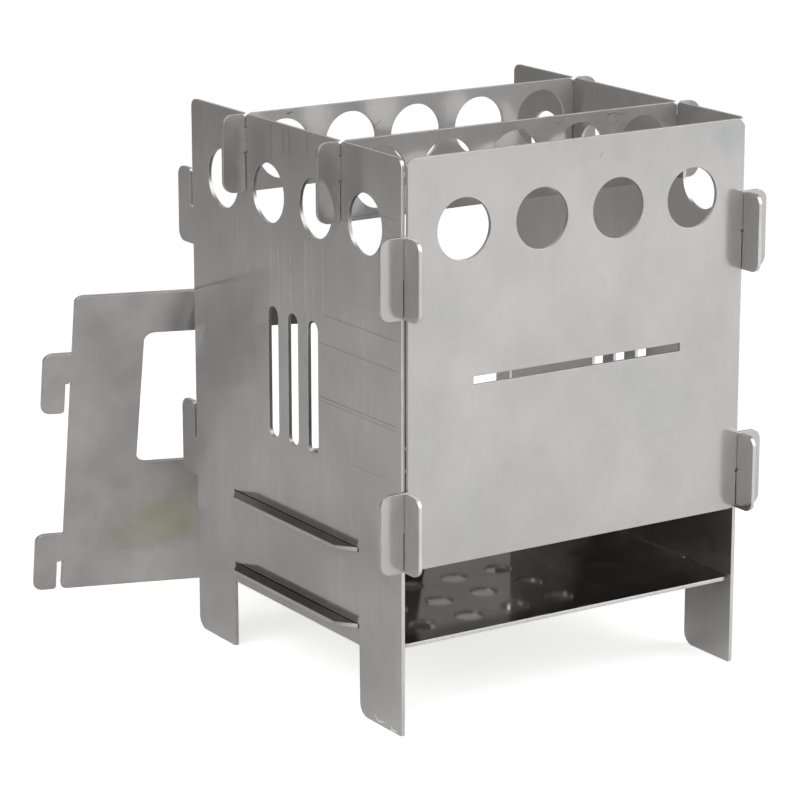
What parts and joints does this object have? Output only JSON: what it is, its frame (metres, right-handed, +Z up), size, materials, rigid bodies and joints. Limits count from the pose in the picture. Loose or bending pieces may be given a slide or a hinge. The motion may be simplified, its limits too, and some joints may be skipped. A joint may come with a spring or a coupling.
{
  "type": "folding wood stove",
  "caption": "Compact box wood stove of flat steel plates that hook and slot together, with pot bars, grate, ash plate and a loose window panel leaning at the rear.",
  "frame": {"origin": "middle of the bounding box of the stove with its leaning panel, on the ground under the feet", "axes": "+Z up; -Y is the front, where the front wall hooks on; +X runs from the left side wall to the right one"},
  "size_m": [0.209, 0.234, 0.21],
  "materials": {
    "wall_steel": "cold-rolled stainless sheet with faint upright grain and handling marks",
    "front_steel": "cold-rolled stainless sheet, evenly lit pale grey",
    "bar_steel": "cold-rolled stainless sheet with grain along the bar",
    "grate_steel": "cold-rolled stainless sheet",
    "ash_steel": "bright, nearly mirror-like stainless sheet"
  },
  "bodies": {
    "stove": {"side_wall_left": "wall_steel", "side_wall_right": "wall_steel", "grate": "grate_steel", "ash_plate": "ash_steel"},
    "front": {"front_wall": "front_steel"},
    "bar_middle": {"middle_bar": "bar_steel"},
    "bar_rear": {"rear_bar": "bar_steel"},
    "panel": {"window_panel": "wall_steel"}
  },
  "joints": [
    {"name": "front_lift", "type": "slide", "parent": "stove", "child": "front", "axis": [0, 0, 1], "range_m": [0, 0.06]},
    {"name": "middle_bar_lift", "type": "slide", "parent": "stove", "child": "bar_middle", "axis": [0, 0, 1], "range_m": [0, 0.03]},
    {"name": "rear_bar_lift", "type": "slide", "parent": "stove", "child": "bar_rear", "axis": [0, 0, 1], "range_m": [0, 0.03]},
    {"name": "panel_tip", "type": "hinge", "parent": "stove", "child": "panel", "pos_m": [-0.07881, 0.11297, 0], "axis": [-0.9483, 0.3173, 0], "range_deg": [0, 24]}
  ]
}
